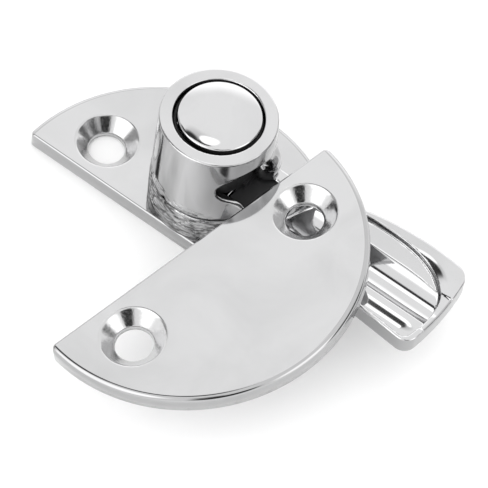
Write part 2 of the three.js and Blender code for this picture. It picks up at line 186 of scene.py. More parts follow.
def half_disc_loop(arc_inset, edge_inset, arc_steps=120, corner_steps=8):
    """The half disc's outline with its round and straight sides set in by their own amounts."""
    corner = PLATE_CORNER - max(arc_inset, edge_inset)
    reach = PLATE_RADIUS - arc_inset
    y = edge_inset + corner
    x = math.sqrt((reach - corner) ** 2 - y ** 2)
    lean = math.atan2(y, x)
    points = []
    for i in range(corner_steps + 1):
        angle = -math.pi / 2 + (lean + math.pi / 2) * i / corner_steps
        points.append((x + corner * math.cos(angle), y + corner * math.sin(angle)))
    for i in range(1, arc_steps):
        angle = lean + (math.pi - 2 * lean) * i / arc_steps
        points.append((reach * math.cos(angle), reach * math.sin(angle)))
    for i in range(corner_steps + 1):
        angle = math.pi - lean + (lean + math.pi / 2) * i / corner_steps
        points.append((-x + corner * math.cos(angle), y + corner * math.sin(angle)))
    return points


def plate_levels():
    """Height, inset of the round side and inset of the straight side, from the back upwards."""
    arc_round, edge_round, back_round = 0.8, 0.3, 0.12
    levels = [(0, back_round, back_round), (back_round, 0, 0)]
    steps = 8
    for i in range(steps + 1):
        angle = math.pi / 2 * i / steps
        drop = arc_round * (1 - math.sin(angle))
        arc_inset = arc_round * (1 - math.cos(angle))
        edge_drop = min(drop, edge_round)
        edge_inset = edge_round - math.sqrt(max(0, edge_round ** 2 - (edge_round - edge_drop) ** 2))
        levels.append((PLATE_THICKNESS - drop, arc_inset, edge_inset))
    return levels


def screw_profile():
    """The screw hole's radius and height, from the back upwards, with small rounds."""
    hole, mouth, lip, back_round, steps = SCREW_HOLE_RADIUS, SCREW_MOUTH_RADIUS, 0.18, 0.1, 8
    sink_bottom = PLATE_THICKNESS - (mouth - hole)
    profile = [(hole + back_round, 0), (hole, back_round), (hole, sink_bottom - lip)]
    profile += [(hole + 0.03, sink_bottom - 0.02), (hole + lip, sink_bottom + lip)]
    for i in range(1, steps):
        share = i / steps
        radius = hole + lip + (mouth - hole - 2 * lip) * share
        z = sink_bottom + lip + (PLATE_THICKNESS - sink_bottom - 2 * lip) * share
        profile.append((radius, z))
    profile += [(mouth - lip, PLATE_THICKNESS - lip), (mouth - 0.06, PLATE_THICKNESS - 0.08)]
    profile += [(mouth + 0.05, PLATE_THICKNESS - 0.02), (mouth + lip, PLATE_THICKNESS)]
    return profile


def circle(x, y, radius, z, count):
    """A circle's points at one height."""
    around = np.linspace(0, 2 * math.pi, count, endpoint=False)
    return [(x + radius * math.cos(a), y + radius * math.sin(a), z) for a in around]


def half_disc(name, place, materials, body, replaces, bores=()):
    """A half-disc plate with two countersunk holes. Its materials: face, cones, outer edge, back."""
    vertices, faces = [], []
    bottoms, tops = [], []

    def wall(loops, flip):
        """Joins loops into a wall, and notes its lowest and highest loops as rims to fill."""
        start = len(vertices)
        count = len(loops[0])
        for loop in loops:
            vertices.extend(loop)
        for face in ring_faces(len(loops), count):
            face = tuple(start + index for index in face)
            faces.append(face[::-1] if flip else face)
        bottoms.append(range(start, start + count))
        tops.append(range(start + count * (len(loops) - 1), start + count * len(loops)))

    outline = [[(x, y, z) for x, y in half_disc_loop(arc, edge)] for z, arc, edge in plate_levels()]
    wall(outline, False)
    edge_end = len(faces)
    for side in (-1, 1):
        x = side * SCREW_SPACING / 2
        wall([circle(x, SCREW_INSET, radius, z, 96) for radius, z in screw_profile()], True)
    cones_end = len(faces)
    for x, y, radius, depth in bores:
        wall([circle(x, y, radius, z, 64) for z in (0, depth)], True)

    face_slot, cone_slot, edge_slot, back_slot = range(4)
    build = bmesh.new()
    points = [build.verts.new(v) for v in vertices]
    for index, face in enumerate(faces):
        made = build.faces.new([points[i] for i in face])
        made.smooth = True
        if index < edge_end:
            made.material_index = edge_slot
        elif index < cones_end:
            made.material_index = cone_slot
    for z, rims, slot in ((0, bottoms, back_slot), (PLATE_THICKNESS, tops, face_slot)):
        edges = []
        for rim in rims:
            if abs(points[rim[0]].co.z - z) > 1e-6:
                continue
            for i in range(len(rim)):
                ends = (points[rim[i]], points[rim[(i + 1) % len(rim)]])
                edges.append(build.edges.get(ends))
        filled = bmesh.ops.triangle_fill(build, use_beauty=True, use_dissolve=False, edges=edges)
        for part in filled["geom"]:
            if isinstance(part, bmesh.types.BMFace):
                part.smooth = False
                part.material_index = slot
    for rim in tops:
        if abs(points[rim[0]].co.z - PLATE_THICKNESS) > 1e-6:
            build.faces.new([points[i] for i in rim]).smooth = False
    bmesh.ops.recalc_face_normals(build, faces=build.faces)
    bmesh.ops.transform(build, matrix=Matrix.Scale(MM, 4) @ place, verts=build.verts)
    mesh = bpy.data.meshes.new(name)
    build.to_mesh(mesh)
    build.free()
    for material in materials:
        mesh.materials.append(material)
    piece = bpy.data.objects.new(name, mesh)
    bpy.context.scene.collection.objects.link(piece)
    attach(piece, body)
    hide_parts(*replaces)
    return piece


def keeper_place():
    """Where the keeper's own frame lies: turned about Z, tilted, back face down."""
    heading = math.radians(KEEPER_TILT_AXIS)
    axis = Vector((math.cos(heading), math.sin(heading), 0))
    turn = Quaternion((0, 0, 1), math.radians(KEEPER_TURN))
    tilt = Quaternion(axis, math.radians(KEEPER_TILT))
    spin = (tilt @ turn).to_matrix().to_4x4()
    return Matrix.Translation(KEEPER_TOP_CENTRE) @ spin @ Matrix.Translation((0, 0, -PLATE_THICKNESS))


# ---------------------------------------------------------------- the arm's casting

def join_round(a, b, radius):
    """Union of two distance fields, with a concave fillet where they meet."""
    u = np.maximum(radius - a, 0)
    v = np.maximum(radius - b, 0)
    return np.maximum(radius, np.minimum(a, b)) - np.hypot(u, v)


def meet_round(a, b, radius):
    """Intersection of two distance fields, with a rounded edge."""
    u = np.maximum(radius + a, 0)
    v = np.maximum(radius + b, 0)
    return np.minimum(-radius, np.maximum(a, b)) + np.hypot(u, v)


def cut_round(a, b, radius):
    """Field a less field b, with a rounded edge."""
    return meet_round(a, -b, radius)


def between(value, low, high):
    """Distance from the span from low to high, negative inside it."""
    return np.maximum(low - value, value - high)


def ramp(value, start, end):
    """0 at start and before it, 1 at end and past it, and straight between them."""
    return np.clip((value - start) / (end - start), 0, 1)


def ball(x, y, z, centre):
    """Distance from a point."""
    return np.sqrt((x - centre[0]) ** 2 + (y - centre[1]) ** 2 + (z - centre[2]) ** 2)


def oval(x, y, half_x, half_y):
    """Roughly the distance to an ellipse about the origin."""
    k = np.hypot(x / half_x, y / half_y)
    slope = np.hypot(x / half_x ** 2, y / half_y ** 2)
    return k * (k - 1) / np.maximum(slope, 1e-9)


def superellipse(x, y, half_x, half_y, power):
    """Roughly the distance to a squared-off ellipse about the origin."""
    a = np.abs(x) / half_x
    b = np.abs(y) / half_y
    k = (a ** power + b ** power) ** (1 / power)
    reach = np.hypot(x, y)
    return reach * (1 - 1 / np.maximum(k, 1e-6))


def arm_plan(x, y, spread):
    """The arm seen from above: a narrow neck and a flared paddle with a round end."""
    far_edge, far_edge_x, far_curve = 8.15, 32.5, 0.011
    paddle_start, neck_end, end_corner, fillet = 12.4, 15, 1.8, 3
    near = -y - (NEAR_EDGE + NEAR_SLOPE * (x - NEAR_EDGE_X))
    far = y - (far_edge - far_curve * (x - far_edge_x) ** 2)
    paddle = meet_round(np.maximum(near, far), spread - ARM_REACH, end_corner)
    paddle = meet_round(paddle, paddle_start - x, fillet)
    neck = np.maximum(np.abs(y) - NECK_HALF_WIDTH, between(x, 0, neck_end))
    return join_round(neck, paddle, fillet)


def pocket_outline(x, y, spread):
    """The pocket seen from above, inside a squared-off oval, the near rim and the arm's end."""
    centre_x, centre_y, half_length, half_width, squareness = 26.5, -2.88, 13.25, 9.2, 2.45
    near_rim_width, end_rim_width = 0.6, 0.5
    outline = superellipse(x - centre_x, y - centre_y, half_length, half_width, squareness)
    near_rim = NEAR_EDGE - near_rim_width + NEAR_SLOPE * (x - NEAR_EDGE_X)
    outline = meet_round(outline, -near_rim - y, 1.0)
    return meet_round(outline, spread - (ARM_REACH - end_rim_width), 1.5)


def finger_pocket(x, y, z, spread):
    """The shallow pocket, with upright sides and a floor that slopes a little on both ledges."""
    far_fall = 0.3 * ramp(y, 6.2, 3.2) + 0.35 * ramp(x, 31, 39) ** 2
    near_share = ramp(y, -3.6, -5.9)
    near_fall = 0.34 * near_share ** 2 * (3 - 2 * near_share) * ramp(x, 40, 37)
    floor_height = ARM_TOP - POCKET_DEPTH - np.where(y > 0, far_fall, near_fall)
    return meet_round(pocket_outline(x, y, spread), floor_height - z, 0.2)


def finger_trough(x, y, z, spread):
    """The round-bottomed trough down the pocket: flatter on the far side, steeper on the near."""
    start_x, deepest_y, bottom, far_radius, near_radius = 11.75, -0.25, 8.65, 5.44, 3.09
    radius = np.where(y > deepest_y, far_radius, near_radius)
    section = np.hypot(y - deepest_y, z - bottom - radius) - radius
    return meet_round(section, np.maximum(pocket_outline(x, y, spread), start_x - x), 0.3)


def corner_dish(x, y, z):
    """The shallow round dish that lowers the far-end corner between the pocket and the rim."""
    centre_x, centre_y, radius, depth, near_end = 33.1, -1.25, 30.5, 1.0, -2.0
    dish = ball(x, y, z, (centre_x, centre_y, ARM_TOP + radius - depth)) - radius
    dish = meet_round(dish, near_end - y, 1.2)
    return np.maximum(dish, ARM_TOP - POCKET_DEPTH - z)


def hub_window(x, y, z, spread):
    """The opening in the near half of the barrel's side: an oval over the slot for the tongue."""
    # The oval at the bore and at the outside: centre y, centre z, half width and half height.
    inner, outer = (-1.9, 13.8, 4, 2.9), (-2.2, 14.5, 4.4, 3.1)
    share = np.clip((spread - BARREL_BORE) / (HUB_TOP_RADIUS - BARREL_BORE), -0.5, 1.4)
    centre_y, centre_z, half_y, half_z = [a + (b - a) * share for a, b in zip(inner, outer)]
    hole = oval(y - centre_y, z - centre_z, half_y, half_z)
    slot_low, slot_high, slot_top, hub_side_x = -3.95, 2.1, 14, 3.5
    slot = np.maximum(between(y, slot_low, slot_high), z - slot_top)
    return np.maximum(join_round(hole, slot, 0.6), np.maximum(hub_side_x - x, ARM_TOP - z))


def cast_marks(x, y, z):
    """Depth of the rough creases left by casting, low down on the hub's near left side."""
    deepest, waves = 0.32, 9
    seeded = np.random.default_rng(11)
    along = HUB_FOOT_RADIUS * np.arctan2(y, x)
    creases = np.zeros(np.shape(z))
    for _ in range(waves):
        run = seeded.uniform(0.4, 1.6)
        rise = seeded.uniform(2.5, 6)
        phase = seeded.uniform(0, 2 * math.pi)
        lean = seeded.choice([-1, 1])
        creases = creases + np.sin(run * along + lean * rise * z + phase)
    depth = np.clip(1 - np.abs(creases) / 2.2, 0, 1) ** 1.5
    turn = np.degrees(np.arctan2(y, x))
    near_left = ramp(turn, -175, -155) * ramp(turn, -45, -70)
    return deepest * depth * ramp(z, 10.4, 8.8) * near_left


def neck_shoulder(x, y, z):
    """The egg-shaped swelling on the far side of the barrel's opening."""
    centre, half = (7.2, 2.8, 13.5), (2, 2.2, 3.2)
    scaled = [(value - c) / h for value, c, h in zip((x, y, z), centre, half)]
    return (np.sqrt(scaled[0] ** 2 + scaled[1] ** 2 + scaled[2] ** 2) - 1) * half[0]


def casting_field(x, y, z):
    """Distance to the casting's surface, negative inside: barrel, neck, paddle and their cuts."""
    spread = np.hypot(x, y)
    foot_radius = HUB_FOOT_RADIUS - 0.1
    wall_radius = foot_radius + (HUB_TOP_RADIUS - foot_radius) * ramp(z, BARREL_BOTTOM, HUB_TOP)
    wall_radius = wall_radius - cast_marks(x, y, z)
    barrel = meet_round(spread - wall_radius, between(z, BARREL_BOTTOM, HUB_TOP), 0.25)

    arm = meet_round(arm_plan(x, y, spread), between(z, BARREL_BOTTOM, ARM_TOP), 0.25)
    arm = cut_round(arm, finger_pocket(x, y, z, spread), 0.12)
    arm = cut_round(arm, corner_dish(x, y, z), 0.12)
    arm = cut_round(arm, finger_trough(x, y, z, spread), 0.1)

    solid = join_round(barrel, arm, 1.5)
    solid = cut_round(solid, hub_window(x, y, z, spread), 0.6)

    land_start, land_end, land_low, land_bottom, land_top = 6, 11.2, 2.3, 10.4, 11.5
    land = np.maximum(between(y, land_low, NECK_HALF_WIDTH), between(x, land_start, land_end))
    land = meet_round(land, between(z, land_bottom, land_top), 0.25)
    solid = join_round(join_round(solid, neck_shoulder(x, y, z), 0.7), land, 0.4)

    bore = np.maximum(spread - BARREL_BORE, ARM_TOP - z)
    solid = cut_round(solid, bore, 0.2)
    recess = np.maximum(spread - BARREL_BORE, z - BARREL_FLOOR)
    solid = np.maximum(solid, -recess)
    solid = np.maximum(solid, BUSH_BORE - spread)

    slot_start, slot_end, slot_floor = 5.55, 11.6, 10.2
    slot_top = np.where(y > land_low, 11.0, ARM_TOP + 0.3)
    slot = np.maximum(np.abs(y) - TONGUE_SLOT_HALF_WIDTH, between(x, slot_start, slot_end))
    slot = np.maximum(slot, between(z, slot_floor, slot_top))
    return np.maximum(solid, -slot)


def surface_net(field, low, step, shape):
    """Points and quads on a distance field's surface, one point to a cell that it crosses."""
    axes = [low[k] + step * np.arange(shape[k]) for k in range(3)]
    x, y, z = np.meshgrid(*axes, indexing="ij")
    value = field(x, y, z)
    inside = value < 0
    corners = [(i, j, k) for i in (0, 1) for j in (0, 1) for k in (0, 1)]
    cells = tuple(n - 1 for n in shape)

    def shifted(grid, c):
        return grid[c[0]:c[0] + cells[0], c[1]:c[1] + cells[1], c[2]:c[2] + cells[2]]

    count = sum(shifted(inside, c).astype(np.int8) for c in corners)
    crossed = (count > 0) & (count < 8)
    where = np.argwhere(crossed)
    number = np.full(cells, -1, np.int64)
    number[crossed] = np.arange(len(where))
    at = {c: shifted(value, c)[crossed] for c in corners}
    total = np.zeros((len(where), 3))
    hits = np.zeros(len(where))
    for a in corners:
        for axis in range(3):
            if a[axis]:
                continue
            b = tuple(1 if k == axis else a[k] for k in range(3))
            fa, fb = at[a], at[b]
            change = (fa < 0) != (fb < 0)
            t = np.where(change, fa / np.where(change, fa - fb, 1), 0)
            point = np.tile(np.array(a, float), (len(where), 1))
            point[:, axis] = t
            total += point * change[:, None]
            hits += change
    points = np.array(low) + step * (where + total / hits[:, None])
    faces = []
    for axis in range(3):
        u, v = (axis + 1) % 3, (axis + 2) % 3
        first = [slice(None)] * 3
        second = [slice(None)] * 3
        first[axis] = slice(0, -1)
        second[axis] = slice(1, None)
        change = inside[tuple(first)] != inside[tuple(second)]
        edges = np.argwhere(change)
        keep = np.ones(len(edges), bool)
        for k in (u, v):
            keep &= (edges[:, k] > 0) & (edges[:, k] < cells[k])
        edges = edges[keep]
        around = []
        for du, dv in ((-1, -1), (0, -1), (0, 0), (-1, 0)):
            cell = edges.copy()
            cell[:, u] += du
            cell[:, v] += dv
            around.append(number[cell[:, 0], cell[:, 1], cell[:, 2]])
        quad = np.stack(around, 1)
        starts_inside = inside[edges[:, 0], edges[:, 1], edges[:, 2]]
        quad[~starts_inside] = quad[~starts_inside][:, ::-1]
        faces.append(quad)
    return points, np.concatenate(faces)


def settle(field, points, rounds=5, nudge=0.01, longest=0.08):
    """Moves points onto the field's surface by Newton steps."""
    for _ in range(rounds):
        value = field(*points.T)
        slope = np.empty_like(points)
        for k in range(3):
            ahead, behind = points.copy(), points.copy()
            ahead[:, k] += nudge
            behind[:, k] -= nudge
            slope[:, k] = (field(*ahead.T) - field(*behind.T)) / (2 * nudge)
        move = slope * (value / np.maximum((slope ** 2).sum(1), 1e-6))[:, None]
        length = np.linalg.norm(move, axis=1, keepdims=True)
        points = points - move * np.minimum(1, longest / np.maximum(length, 1e-9))
    return points


def arm_casting(material):
    """The arm with its barrel, taken off the distance field as one closed surface."""
    step = 0.18
    low = np.array([-HUB_FOOT_RADIUS - 1, -HUB_FOOT_RADIUS - 1, BARREL_BOTTOM - 1])
    high = np.array([ARM_REACH + 1, HUB_FOOT_RADIUS + 1, HUB_TOP + 1])
    shape = tuple(int(n) for n in np.ceil((high - low) / step) + 1)
    points, faces = surface_net(casting_field, low + 0.013, step, shape)
    points = settle(casting_field, points)
    return add_mesh("arm_body", points, faces.tolist(), material, "arm", ["arm_casting"])


# ---------------------------------------------------------------- turned pieces

def pedestal(material):
    """The hub's fixed foot, with the casting marks in its near left side and a ring-shaped well."""
    edge, steps = 0.25, 32
    well_inner, well_outer, well_floor = 4.05, 6.4, 5.4
    top = foot_high.z
    profile = [(STUD_BORE, PLATE_THICKNESS), (HUB_FOOT_RADIUS, PLATE_THICKNESS)]
    levels = np.linspace(PLATE_THICKNESS + 0.15, top - edge - 0.1, steps)
    profile += [(HUB_FOOT_RADIUS, z) for z in levels]
    profile += round_profile(HUB_FOOT_RADIUS - 0.05 - edge, top - edge, edge, 0, 90)
    profile += [(well_outer, top), (well_outer, well_floor)]
    profile += [(well_inner, well_floor), (well_inner, top), (STUD_BORE, top)]
    foot = turned("hub_foot", profile, material, "base", ["pedestal"], closed=True, segments=360)
    for vertex in foot.data.vertices:
        x, y, z = vertex.co / MM
        reach = math.hypot(x, y)
        if reach > HUB_FOOT_RADIUS - 0.2:
            fade = min(1, (z - PLATE_THICKNESS) / 1.2)
            vertex.co.xy *= 1 - float(cast_marks(x, y, z)) * fade / reach
    return foot


def button_cap(material):
    """The domed button: a hollow skirt below a head with a groove for the seal."""
    crown, crown_power, lip, steps = 0.5, 3.4, 0.3, 24
    skirt_roof, skirt_bore, skirt_radius, head_bottom = 17.5, 5, 5.65, 19.1
    groove_radius, groove_low, groove_high = 5.8, seal_low.z - 0.05, seal_high.z + 0.05
    rim = button_high.z - crown
    profile = [(0, skirt_roof), (skirt_bore, skirt_roof), (skirt_bore, button_low.z)]
    profile += [(skirt_radius, button_low.z), (skirt_radius, head_bottom), (BUTTON_RADIUS, head_bottom)]
    profile += [(BUTTON_RADIUS, groove_low), (groove_radius, groove_low)]
    profile += [(groove_radius, groove_high), (BUTTON_RADIUS, groove_high)]
    profile += round_profile(BUTTON_RADIUS - lip, rim - lip + 0.1, lip, 0, 70)
    edge_radius, edge_z = profile[-1]
    for i in range(1, steps + 1):
        radius = edge_radius * (1 - i / steps)
        z = edge_z + (rim + crown - edge_z) * (1 - (radius / edge_radius) ** crown_power)
        profile.append((radius, z))
    cap = turned("button_cap", profile, material, "button", ["push_button"])
    cap.data.transform(Matrix.Translation(Vector(BUTTON_PLAY) * MM))
    return cap


def seal(material):
    """The black ring round the button's head."""
    mean_radius, section_radius = 6.15, 0.28
    middle = (seal_low.z + seal_high.z) / 2
    profile = round_profile(mean_radius, middle, section_radius, 0, 345, steps=22)
    return turned("seal_ring", profile, material, "button", ["button_seal"], closed=True)


def coil_spring(material):
    """The button's spring between arm and button, with its coil spacing set by the button's travel."""
    wire, turns, steps, sides = 0.3, 3, 240, 16
    mean_radius = spring_high.x - wire
    bottom, top = spring_low.z + wire, spring_high.z - wire
    rise = top - bottom
    height = np.linspace(0, 1, 400)
    closed = (rise * height - BUTTON_TRAVEL * height ** 2 * (3 - 2 * height)) / (rise - BUTTON_TRAVEL)
    vertices = []
    for i in range(steps + 1):
        turn = 2 * math.pi * turns * i / steps
        centre_z = bottom + rise * float(np.interp(i / steps, closed, height))
        for k in range(sides):
            around = 2 * math.pi * k / sides
            reach = mean_radius + wire * math.cos(around)
            z = centre_z + wire * math.sin(around)
            vertices.append((reach * math.cos(turn), reach * math.sin(turn), z))
    faces = [face[::-1] for face in ring_faces(steps + 1, sides)]
    ends = (len(faces), len(faces) + 1)
    faces.append(tuple(range(sides)))
    faces.append(tuple(range(len(vertices) - 1, len(vertices) - sides - 1, -1)))
    spring = add_mesh("coil_spring", vertices, faces, material, None, ["button_spring"], ends)
    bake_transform(spring)
    return spring


# ---------------------------------------------------------------- materials

class Nodes:
    """A material with a Principled shader, and short ways to add nodes to it."""

    def __init__(self, name, color, roughness, metallic):
        self.material = bpy.data.materials.new(name)
        self.material.use_nodes = True
        self.tree = self.material.node_tree
        self.shader = self.tree.nodes["Principled BSDF"]
        self.shader.inputs["Base Color"].default_value = (*color, 1)
        self.shader.inputs["Roughness"].default_value = roughness
        self.shader.inputs["Metallic"].default_value = metallic
        coordinates = self.add("ShaderNodeTexCoord")
        self.place = coordinates.outputs["Object"]

    def add(self, kind, links=(), **settings):
        """A new node, with values or other nodes' outputs on its sockets."""
        node = self.tree.nodes.new(kind)
        for key, value in settings.items():
            setattr(node, key, value)
        for socket, value in dict(links).items():
            self.set(node, socket, value)
        return node

    def set(self, node, socket, value):
        """Links an output to the socket, or sets the socket to a plain value."""
        if isinstance(value, bpy.types.NodeSocket):
            self.tree.links.new(value, node.inputs[socket])
        else:
            node.inputs[socket].default_value = value

    def noise(self, scale, detail=3, stretch=None, distortion=0):
        """Noise from 0 to 1, with scale in features to a metre."""
        place = self.place
        if stretch:
            place = self.add("ShaderNodeMapping", {"Vector": place, "Scale": stretch}).outputs["Vector"]
        links = {"Vector": place, "Scale": scale, "Detail": detail, "Distortion": distortion}
        return self.add("ShaderNodeTexNoise", links).outputs["Fac"]

    def remap(self, value, low, high, new_low, new_high):
        """value taken from the range low to high into the range new_low to new_high, and clamped."""
        links = {"Value": value, "From Min": low, "From Max": high, "To Min": new_low, "To Max": new_high}
        return self.add("ShaderNodeMapRange", links).outputs["Result"]

    def math(self, operation, a, b):
        return self.add("ShaderNodeMath", {0: a, 1: b}, operation=operation).outputs[0]

    def dot(self, direction):
        """How far a point lies along a direction from the origin."""
        links = {0: self.place, 1: direction}
        return self.add("ShaderNodeVectorMath", links, operation="DOT_PRODUCT").outputs["Value"]

    def bump(self, height, distance, strength=1.0):
        """Bumps the shader by height, with distance in metres."""
        links = {"Height": height, "Distance": distance, "Strength": strength}
        node = self.add("ShaderNodeBump", links)
        self.set(self.shader, "Normal", node.outputs["Normal"])

    def mix(self, factor, a, b):
        """Colour a where factor is 0 and b where it is 1."""
        node = self.add("ShaderNodeMix", {"Factor": factor}, data_type="RGBA")
        for socket, color in ((6, a), (7, b)):
            self.set(node, socket, color if isinstance(color, bpy.types.NodeSocket) else (*color, 1))
        return node.outputs[2]


def grey(level):
    """A metal's very slightly cold grey."""
    return (level, level, level * 1.008)


def side_masks(m):
    """Masks for the sides' painted shade: height, 1 on the hub's upright side, and 1 on the paddle's near
    side and end.
    """
    parts = m.add("ShaderNodeSeparateXYZ", {"Vector": m.place}).outputs
    height = parts["Z"]
    flat = m.add("ShaderNodeCombineXYZ", {"X": parts["X"], "Y": parts["Y"]}).outputs["Vector"]
    reach = m.add("ShaderNodeVectorMath", {0: flat}, operation="LENGTH").outputs["Value"]
    outside = m.remap(reach, (HUB_TOP_RADIUS - 0.4) * MM, (HUB_TOP_RADIUS - 0.2) * MM, 0, 1)
    near_hub = m.remap(reach, (HUB_FOOT_RADIUS + 0.8) * MM, (HUB_FOOT_RADIUS + 0.3) * MM, 0, 1)
    below_rim = m.remap(height, (HUB_TOP - 0.02) * MM, (HUB_TOP - 0.06) * MM, 0, 1)
    hub_side = m.math("MULTIPLY", m.math("MULTIPLY", outside, near_hub), below_rim)

    slant = m.dot((-NEAR_SLOPE, -1, 0))
    edge_slant = NEAR_EDGE - NEAR_SLOPE * NEAR_EDGE_X
    near_side = m.remap(slant, (edge_slant - 0.27) * MM, (edge_slant - 0.12) * MM, 0, 1)
    far_end = m.remap(reach, (ARM_REACH - 0.4) * MM, (ARM_REACH - 0.25) * MM, 0, 1)
    corner_reach = ARM_REACH + edge_slant - 1.47
    both = m.math("ADD", slant, reach)
    corner = m.remap(both, corner_reach * MM, (corner_reach + 0.2) * MM, 0, 1)
    rim = m.math("MAXIMUM", near_side, m.math("MAXIMUM", far_end, corner))
    below_top = m.remap(height, (ARM_TOP - 0.1) * MM, (ARM_TOP - 0.2) * MM, 0, 1)
    beyond_hub = m.remap(reach, (HUB_FOOT_RADIUS + 3) * MM, (HUB_FOOT_RADIUS + 5) * MM, 0, 1)
    paddle_side = m.math("MULTIPLY", rim, m.math("MULTIPLY", below_top, beyond_hub))
    return height, hub_side, paddle_side


def paint_shade_on_sides(m, tone, rough):
    """Painted shade on the casting's sides: a darker paddle side and end, darker streaks on the hub's
    side, and near-black shade painted in the creases low on the near left.
    """
    height, hub_side, paddle_side = side_masks(m)
    # Painted shade: the paddle's near side and end take a darker grey.
    tone = m.mix(paddle_side, tone, grey(0.4))
    rough = m.math("ADD", rough, m.math("MULTIPLY", hub_side, 0.05))
    # Painted shade in streaks over the hub's upright side.
    streak = m.noise(150, 3, stretch=(1, 1, 0.3), distortion=0.5)
    streaky_shade = m.math("MULTIPLY", hub_side, m.remap(streak, 0.4, 0.62, 1, 0.15))
    tone = m.mix(streaky_shade, tone, grey(0.33))
    # Painted shade in the cast creases, low on the hub's near left side.
    low_down = m.remap(height, 9.5 * MM, 7.5 * MM, 0, 1)
    near_left = m.remap(m.dot((-0.5, -0.86, 0)), 0, 4 * MM, 0, 1)
    crease = m.noise(420, 6, stretch=(1, 1, 3.5), distortion=1.2)
    low_side = m.math("MULTIPLY", m.math("MULTIPLY", hub_side, near_left), low_down)
    crease_shade = m.math("MULTIPLY", low_side, m.remap(crease, 0.4, 0.58, 1, 0))
    return m.mix(crease_shade, tone, grey(0.1)), rough


def chrome(name="polished_chrome", painted_brightness=1, shade_sides=False):
    """Bright nickel-chrome plate: faint smears, fine hairlines and a very slight waviness. A brightness
    factor below 1 gives a darker copy with painted shade, and the sides option adds painted shade on the
    casting's sides.
    """
    m = Nodes(name, grey(0.55), 0.05, 1)
    smear = m.noise(70, 4, distortion=0.6)
    hairline = m.noise(900, 2, stretch=(0.06, 1, 1))
    smear_rough = m.remap(smear, 0.35, 0.75, 0.035, 0.085)
    rough = m.math("ADD", smear_rough, m.remap(hairline, 0.55, 0.75, 0, 0.03))
    # The brightness factor scales both tones; below 1 this is painted shade.
    tone = m.mix(m.remap(smear, 0.4, 0.75, 0, 1), grey(0.58 * painted_brightness), grey(0.515 * painted_brightness))
    # The sides option paints shade on the casting's sides.
    if shade_sides:
        tone, rough = paint_shade_on_sides(m, tone, rough)
    m.set(m.shader, "Roughness", rough)
    m.set(m.shader, "Base Color", tone)
    m.bump(m.noise(160, 2), 0.000004)
    return m.material


def turned_chrome():
    """Chrome over a coarsely turned seat, as in the countersinks."""
    m = Nodes("turned_chrome", (0.54, 0.54, 0.543), 0.12, 1)
    grain = m.noise(2600, 3)
    m.set(m.shader, "Roughness", m.remap(grain, 0.35, 0.7, 0.1, 0.24))
    m.bump(grain, 0.00001)
    return m.material


def satin_back():
    """The plates' unpolished backs: satin nickel with a fine grain."""
    m = Nodes("satin_back", grey(0.74), 0.4, 1)
    grain = m.noise(1500, 4)
    m.set(m.shader, "Roughness", m.remap(grain, 0.3, 0.7, 0.36, 0.5))
    m.set(m.shader, "Base Color", m.mix(m.remap(grain, 0.4, 0.7, 0, 1), grey(0.76), grey(0.7)))
    m.bump(grain, 0.00001)
    return m.material


def plain_steel():
    """Bare steel with a fine drawn grain, on the parts inside the hub."""
    m = Nodes("plain_steel", (0.5, 0.5, 0.51), 0.3, 1)
    grain = m.noise(1800, 3, stretch=(1, 1, 0.1))
    m.set(m.shader, "Roughness", m.remap(grain, 0.3, 0.7, 0.22, 0.4))
    m.bump(grain, 0.00001, 0.6)
    return m.material


def bearing_bronze():
    """Sintered bronze with darker specks."""
    m = Nodes("bearing_bronze", (0.55, 0.36, 0.16), 0.35, 1)
    speck = m.noise(2500, 3)
    m.set(m.shader, "Roughness", m.remap(speck, 0.3, 0.7, 0.3, 0.5))
    light_bronze, dark_bronze = (0.58, 0.39, 0.18), (0.44, 0.27, 0.11)
    m.set(m.shader, "Base Color", m.mix(m.remap(speck, 0.4, 0.7, 0, 1), light_bronze, dark_bronze))
    m.bump(speck, 0.00001)
    return m.material


def black_nylon():
    """Moulded black plastic with a fine grain."""
    m = Nodes("black_nylon", (0.022, 0.022, 0.023), 0.5, 0)
    grain = m.noise(3000, 3)
    m.set(m.shader, "Roughness", m.remap(grain, 0.3, 0.7, 0.45, 0.6))
    m.bump(grain, 0.000012)
    return m.material


def black_rubber():
    """Dull black rubber."""
    m = Nodes("black_rubber", (0.01, 0.01, 0.0105), 0.65, 0)
    grain = m.noise(2200, 4)
    m.set(m.shader, "Roughness", m.remap(grain, 0.3, 0.7, 0.55, 0.75))
    m.bump(grain, 0.00001)
    return m.material


def floor_material():
    """A matt near-white floor that glows a little, so that its shadows stay pale."""
    m = Nodes("pale_floor", (0.93, 0.93, 0.93), 0.9, 0)
    m.shader.inputs["Specular IOR Level"].default_value = 0
    m.shader.inputs["Emission Color"].default_value = (1, 1, 1, 1)
    m.shader.inputs["Emission Strength"].default_value = 0.08
    return m.material


# ---------------------------------------------------------------- studio

CAMERA_PLACE = Vector((130.0, -212.7, 360.6))
CAMERA_RIGHT = Vector((0.795, 0.602, 0.083))
CAMERA_UP = Vector((-0.539, 0.636, 0.552))
CAMERA_LENS = 221.3


def camera():
    """The camera, a long lens held well away and turned a little about its axis."""
    data = bpy.data.cameras.new("camera")
    data.lens = CAMERA_LENS
    data.sensor_width = 36
    data.clip_start = 0.01
    data.clip_end = 10
    obj = bpy.data.objects.new("camera", data)
    right = CAMERA_RIGHT.normalized()
    back = right.cross(CAMERA_UP).normalized()
    up = back.cross(right)
    turn = Matrix((right, up, back)).transposed().to_4x4()
    obj.matrix_world = Matrix.Translation(CAMERA_PLACE * MM) @ turn
    bpy.context.scene.collection.objects.link(obj)
    bpy.context.scene.camera = obj


def floor():
    """A plain square floor, just below the object."""
    size = 3.0
    corners = [(-size, -size, 0), (size, -size, 0), (size, size, 0), (-size, size, 0)]
    mesh = bpy.data.meshes.new("floor")
    mesh.from_pydata(corners, [], [(0, 1, 2, 3)])
    mesh.materials.append(floor_material())
    obj = bpy.data.objects.new("floor", mesh)
    obj.location.z = -0.00002
    bpy.context.scene.collection.objects.link(obj)


